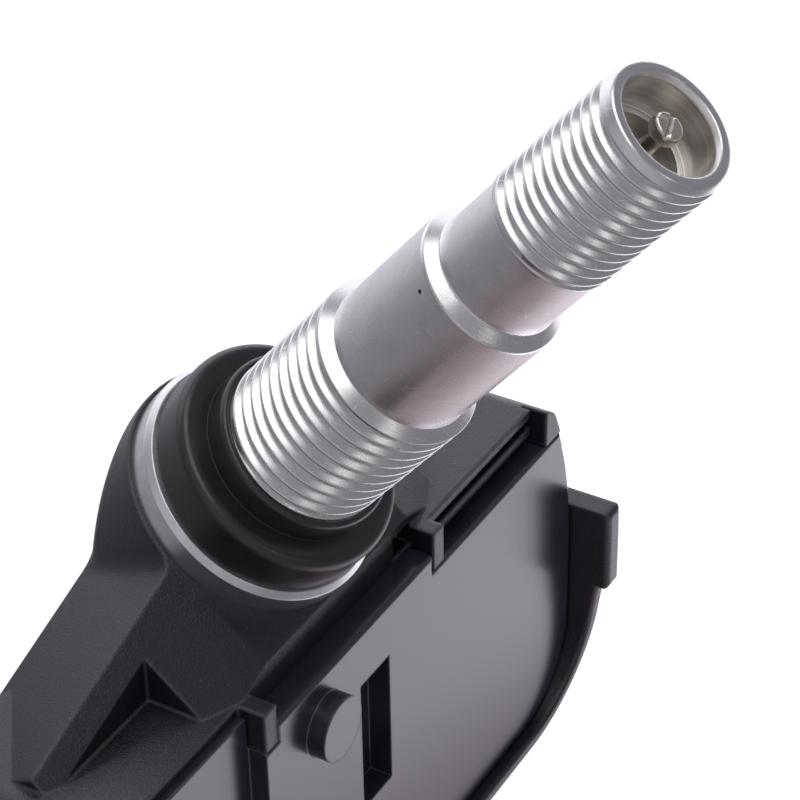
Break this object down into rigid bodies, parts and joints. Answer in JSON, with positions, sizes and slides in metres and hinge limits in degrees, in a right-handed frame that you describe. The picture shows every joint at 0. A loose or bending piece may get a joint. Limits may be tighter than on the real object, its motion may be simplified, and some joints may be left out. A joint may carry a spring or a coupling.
{
  "type": "tyre pressure sensor",
  "caption": "Tyre pressure sensor: a turned metal valve stem with rubber seal and sprung core, standing at a slant on a flat black plastic housing for battery and board.",
  "frame": {"origin": "on the valve stem's axis, where the rubber flange seats against the inside of the wheel rim", "axes": "+Z along the stem to its mouth, +X along the housing's long side, -Y towards the side that the lid looks to"},
  "size_m": [0.0584, 0.036, 0.0694],
  "materials": {
    "housing_plastic": "black glass-filled plastic, fine mould grain",
    "lid_plastic": "black plastic with a smooth half-gloss face",
    "stem_aluminium": "turned, tumbled satin with bright thread crests",
    "washer_steel": "plain turned face",
    "seal_rubber": "black moulded rubber, soft sheen",
    "core_brass": "plain machined brass",
    "pin_nickel": "warm nickel plate",
    "spring_steel": "drawn wire",
    "board_laminate": "green solder mask",
    "cell_steel": "plain can",
    "tab_nickel": "nickel strip",
    "chip_epoxy": "black moulded epoxy",
    "filter_membrane": "white vent membrane",
    "ferrite": "dark grey ferrite",
    "winding_copper": "enamelled copper wire",
    "crystal_can": "plated can",
    "ceramic": "tan ceramic",
    "antenna_copper": "stamped copper"
  },
  "bodies": {
    "sensor": {"housing": "housing_plastic", "lid": "lid_plastic", "valve_stem": "stem_aluminium", "seat_washer": "washer_steel", "grommet": "seal_rubber", "core_plug": "core_brass", "core_barrel": "core_brass", "core_seal": "seal_rubber", "core_spring": "spring_steel", "circuit_board": "board_laminate", "coin_cell": "cell_steel", "positive_tab": "tab_nickel", "negative_tab": "tab_nickel", "sensor_chip": "chip_epoxy", "port_seal": "seal_rubber", "port_filter": "filter_membrane", "coil_core": "ferrite", "coil_winding": "winding_copper", "crystal": "crystal_can", "capacitors": "ceramic", "antenna_loop": "antenna_copper"},
    "pin": {"core_pin": "pin_nickel", "core_cup": "core_brass", "cup_seal": "seal_rubber"}
  },
  "joints": [
    {"name": "pin_slide", "type": "slide", "parent": "sensor", "child": "pin", "axis": [0, 0, 1], "range_m": [-0.0018, 0], "stiffness_N_per_m": 800, "springref_m": 0.003, "deforming": ["core_spring"]}
  ]
}
